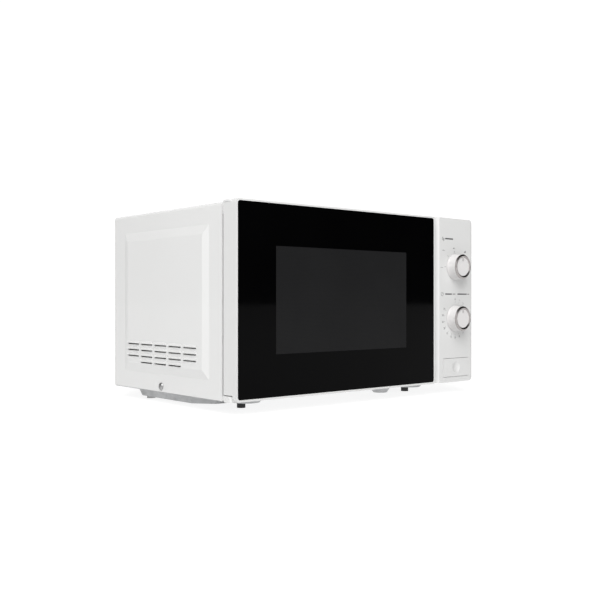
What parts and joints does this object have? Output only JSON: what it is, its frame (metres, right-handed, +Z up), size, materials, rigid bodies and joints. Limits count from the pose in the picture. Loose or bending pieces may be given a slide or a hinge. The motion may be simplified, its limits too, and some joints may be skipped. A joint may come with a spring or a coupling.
{
  "type": "microwave oven",
  "caption": "Counter-top microwave oven: white case, black glass door hinged on the left, rotary power and timer knobs, push-button door release and glass turntable.",
  "frame": {"origin": "middle of the bounding box footprint, on the plane the feet stand on", "axes": "+X to the right seen from the front, +Y to the back (the door and knobs face -Y), +Z up"},
  "size_m": [0.4488, 0.3406, 0.2583],
  "materials": {
    "white_paint": "satin white powder paint",
    "zinc_sheet": "zinc coated steel sheet",
    "cavity_enamel": "smooth pale grey enamel",
    "mica": "matt pressed mica sheet",
    "lamp_glass": "clear lamp bulb",
    "lamp_bracket": "bright steel bracket",
    "natural_plastic": "natural white moulding",
    "clear_glass": "clear pressed glass",
    "white_plastic": "fine grained white moulding",
    "black_glass": "black printed glass with a lighter window",
    "screen_black": "matt black perforated sheet",
    "clear_film": "thin clear sheet",
    "black_plastic": "matt black moulding",
    "spring_steel": "drawn wire",
    "knob_face": "satin pinkish white moulding",
    "chrome_ring": "polished plating",
    "bell_steel": "polished gong",
    "magnetron_metal": "finned core in a steel yoke",
    "transformer_iron": "varnished laminations",
    "can_aluminium": "drawn can",
    "fan_plastic": "pale blue moulding",
    "board_green": "circuit board",
    "ceramic_body": "phenolic body",
    "black_rubber": "matt rubber",
    "grey_plastic": "matt grey moulding",
    "screw_steel": "zinc plated steel"
  },
  "bodies": {
    "case": {"outer_cover": "white_paint", "back_plate": "zinc_sheet", "base_plate": "zinc_sheet", "front_frame": "white_paint", "oven_cavity": "cavity_enamel", "waveguide": "zinc_sheet", "waveguide_cover": "mica", "cavity_lamp": "lamp_glass", "lamp_holder": "lamp_bracket", "turntable_motor": "zinc_sheet", "hinge_lower": "white_paint", "hinge_upper": "white_paint", "control_panel": "white_plastic", "power_selector": "black_plastic", "timer_unit": "natural_plastic", "timer_bell": "bell_steel", "interlock_bracket": "natural_plastic", "micro_switches": "black_plastic", "magnetron": "magnetron_metal", "transformer": "transformer_iron", "capacitor": "can_aluminium", "diode": "black_plastic", "fan_motor": "transformer_iron", "fan_shroud": "natural_plastic", "air_duct": "natural_plastic", "filter_board": "board_green", "thermal_cutouts": "ceramic_body", "cord_gland": "black_rubber", "front_feet": "black_rubber", "rear_feet": "grey_plastic", "cover_screws": "screw_steel", "case_screws": "screw_steel", "rear_spacer": "black_plastic", "button_spring": "spring_steel"},
    "door": {"door_frame": "white_plastic", "door_glass": "black_glass", "door_inner_panel": "zinc_sheet", "door_screen": "screen_black", "door_inner_film": "clear_film", "choke_cover": "black_plastic", "latch_spring": "spring_steel"},
    "latch": {"latch_hooks": "natural_plastic"},
    "drive_coupler": {"turntable_coupler": "natural_plastic"},
    "glass_tray": {"turntable_tray": "clear_glass"},
    "roller_ring": {"roller_ring": "natural_plastic"},
    "roller_right": {"roller_right": "natural_plastic"},
    "roller_left_back": {"roller_left_back": "natural_plastic"},
    "roller_left_front": {"roller_left_front": "natural_plastic"},
    "power_knob": {"power_knob": "knob_face", "power_knob_ring": "chrome_ring"},
    "timer_knob": {"timer_knob": "knob_face", "timer_knob_ring": "chrome_ring"},
    "door_button": {"door_button": "white_plastic"},
    "release_lever": {"release_lever": "natural_plastic"},
    "fan": {"fan_blade": "fan_plastic"}
  },
  "joints": [
    {"name": "door_hinge", "type": "hinge", "parent": "case", "child": "door", "pos_m": [-0.214, -0.1384, 0.14], "axis": [0, 0, -1], "range_deg": [0, 100]},
    {"name": "latch_lift", "type": "slide", "parent": "door", "child": "latch", "axis": [0, 0, 1], "range_m": [0, 0.004], "deforming": ["latch_spring"]},
    {"name": "turntable_spin", "type": "hinge", "parent": "case", "child": "drive_coupler", "pos_m": [-0.043, 0.0163, 0.042], "axis": [0, 0, 1], "continuous": true},
    {"name": "tray_lift", "type": "slide", "parent": "drive_coupler", "child": "glass_tray", "axis": [0, 0, 1], "range_m": [0, 0.03]},
    {"name": "roller_ring_spin", "type": "hinge", "parent": "case", "child": "roller_ring", "pos_m": [-0.043, 0.0163, 0.042], "axis": [0, 0, 1], "continuous": true},
    {"name": "roller_right_spin", "type": "hinge", "parent": "roller_ring", "child": "roller_right", "pos_m": [0.045, 0.0163, 0.0498], "axis": [1, 0, 0], "continuous": true},
    {"name": "roller_left_back_spin", "type": "hinge", "parent": "roller_ring", "child": "roller_left_back", "pos_m": [-0.087, 0.09251, 0.0498], "axis": [-0.5, 0.866, 0], "continuous": true},
    {"name": "roller_left_front_spin", "type": "hinge", "parent": "roller_ring", "child": "roller_left_front", "pos_m": [-0.087, -0.05991, 0.0498], "axis": [-0.5, -0.866, 0], "continuous": true},
    {"name": "power_knob_turn", "type": "hinge", "parent": "case", "child": "power_knob", "pos_m": [0.18, -0.154, 0.187], "axis": [0, 1, 0], "range_deg": [-90, 90]},
    {"name": "timer_knob_turn", "type": "hinge", "parent": "case", "child": "timer_knob", "pos_m": [0.18, -0.154, 0.111], "axis": [0, 1, 0], "range_deg": [0, 300]},
    {"name": "door_button_push", "type": "slide", "parent": "case", "child": "door_button", "axis": [0, 1, 0], "range_m": [0, 0.005], "stiffness_N_per_m": 400, "springref_m": -0.004, "deforming": ["button_spring"]},
    {"name": "release_lever_tilt", "type": "hinge", "parent": "case", "child": "release_lever", "pos_m": [0.187, -0.1185, 0.057], "axis": [1, 0, 0], "range_deg": [0, 17]},
    {"name": "fan_spin", "type": "hinge", "parent": "case", "child": "fan", "pos_m": [0.165, 0.0953, 0.178], "axis": [0, 1, 0], "continuous": true}
  ],
  "couplings": [
    {"joint": "roller_ring_spin", "follows": "turntable_spin", "ratio": 0.5},
    {"joint": "roller_right_spin", "follows": "turntable_spin", "ratio": -5.8667},
    {"joint": "roller_left_back_spin", "follows": "turntable_spin", "ratio": -5.8667},
    {"joint": "roller_left_front_spin", "follows": "turntable_spin", "ratio": -5.8667},
    {"joint": "release_lever_tilt", "follows": "door_button_push", "rad_per_m": 57.6},
    {"joint": "latch_lift", "follows": "door_button_push", "ratio": 0.8}
  ]
}
